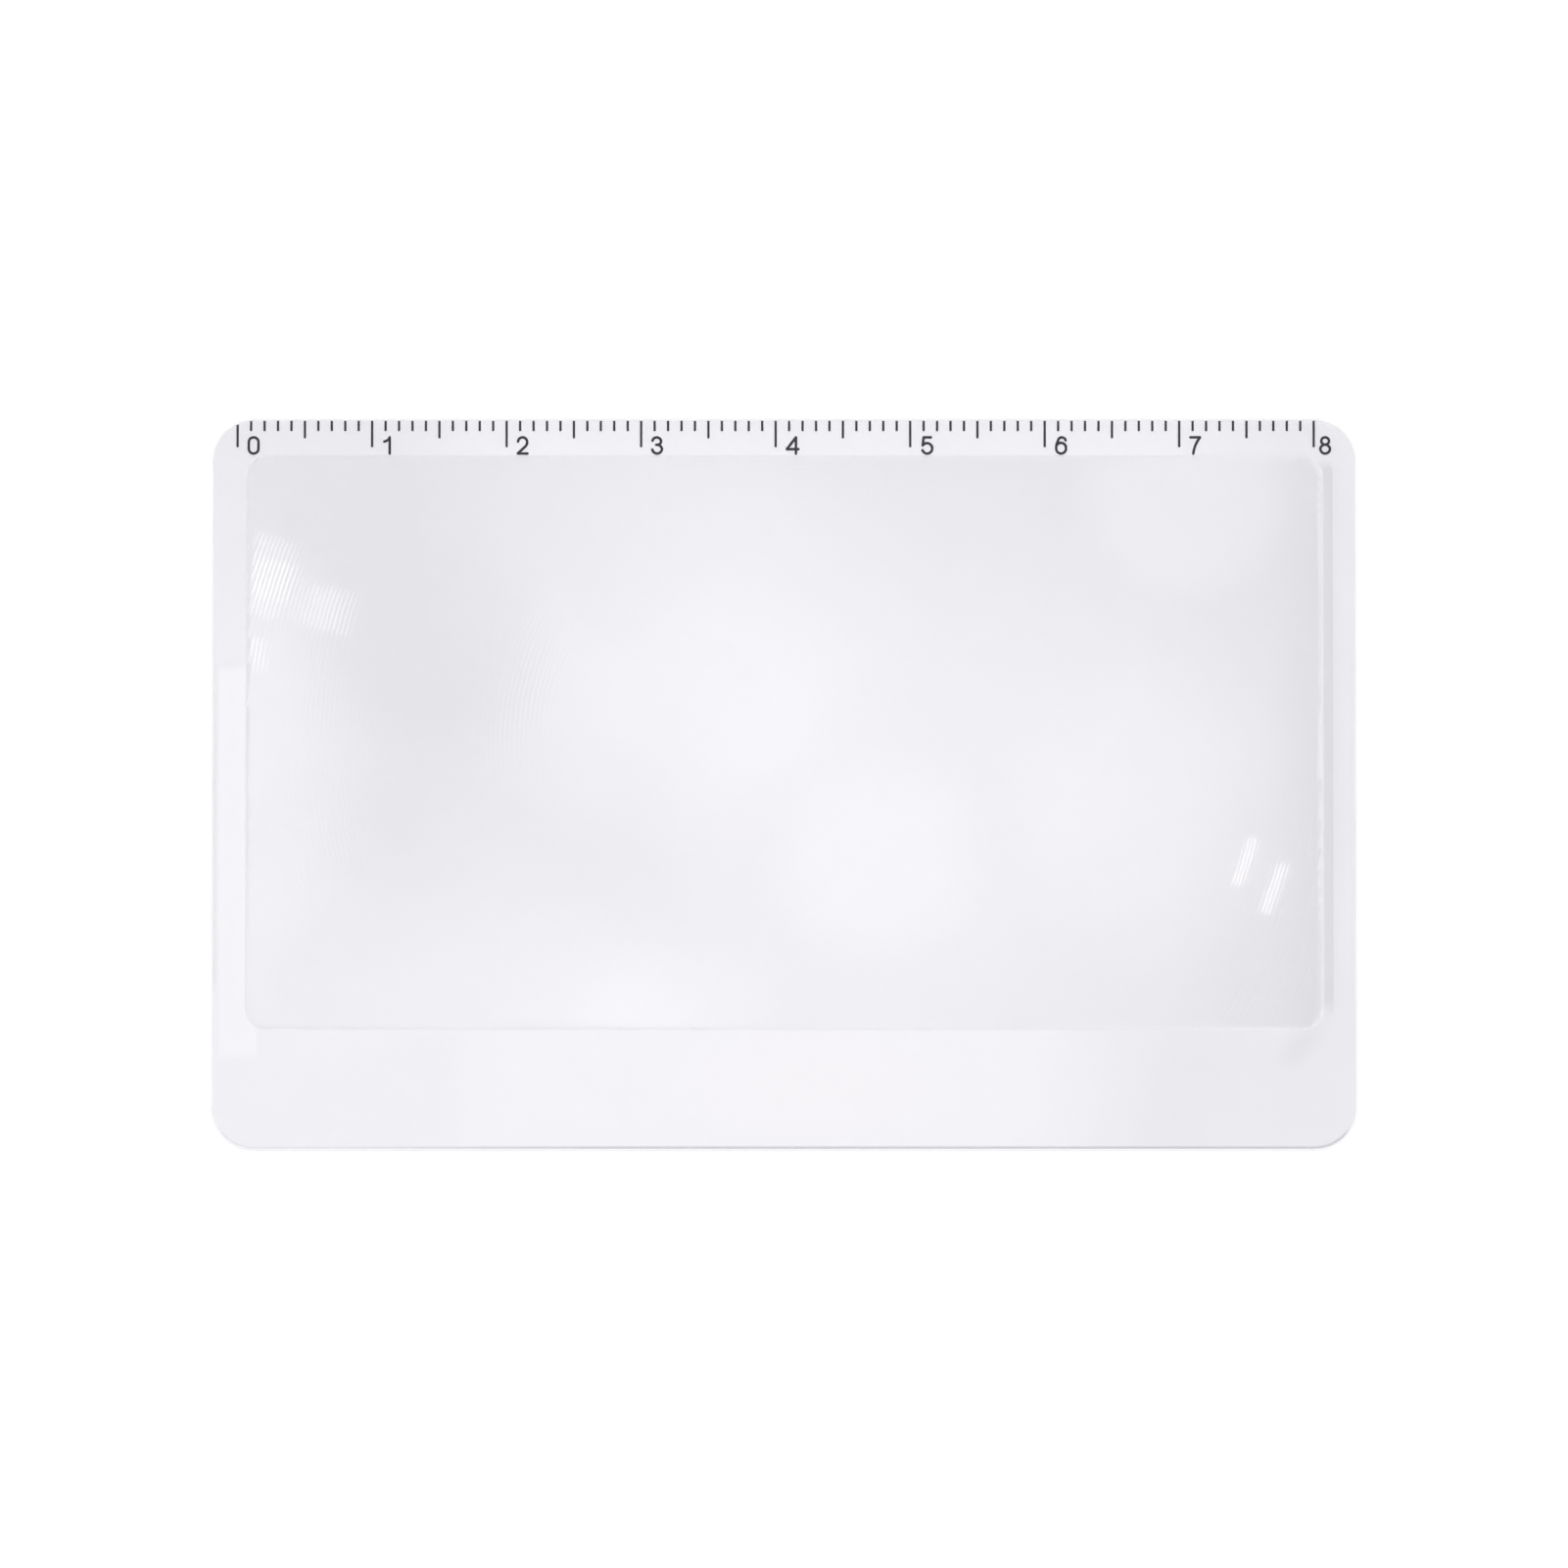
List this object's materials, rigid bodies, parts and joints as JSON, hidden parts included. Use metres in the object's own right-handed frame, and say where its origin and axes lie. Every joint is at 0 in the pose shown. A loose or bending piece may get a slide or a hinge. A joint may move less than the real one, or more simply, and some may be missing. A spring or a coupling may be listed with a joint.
{
  "type": "fresnel card magnifier",
  "caption": "Flat clear card with round corners, a laminated rectangular Fresnel lens film and a printed centimetre ruler with digits along one long edge.",
  "frame": {"origin": "middle of the card's flat back face", "axes": "+X along the ruler towards its higher numbers, +Y across the card towards the ruler's edge, +Z out of the grooved and printed face"},
  "size_m": [0.085, 0.055, 0.0007],
  "materials": {
    "clear_sheet": "clear, glossy, lightly handled",
    "clear_lens": "clear with fine pressed ring grooves",
    "ruler_ink": "thin screen print, nearly matt"
  },
  "bodies": {
    "root": {"card_sheet": "clear_sheet", "fresnel_lens": "clear_lens", "centimetre_marks": "ruler_ink", "half_centimetre_marks": "ruler_ink", "millimetre_marks": "ruler_ink", "numeral_0": "ruler_ink", "numeral_1": "ruler_ink", "numeral_2": "ruler_ink", "numeral_3": "ruler_ink", "numeral_4": "ruler_ink", "numeral_5": "ruler_ink", "numeral_6": "ruler_ink", "numeral_7": "ruler_ink", "numeral_8": "ruler_ink"}
  },
  "joints": []
}
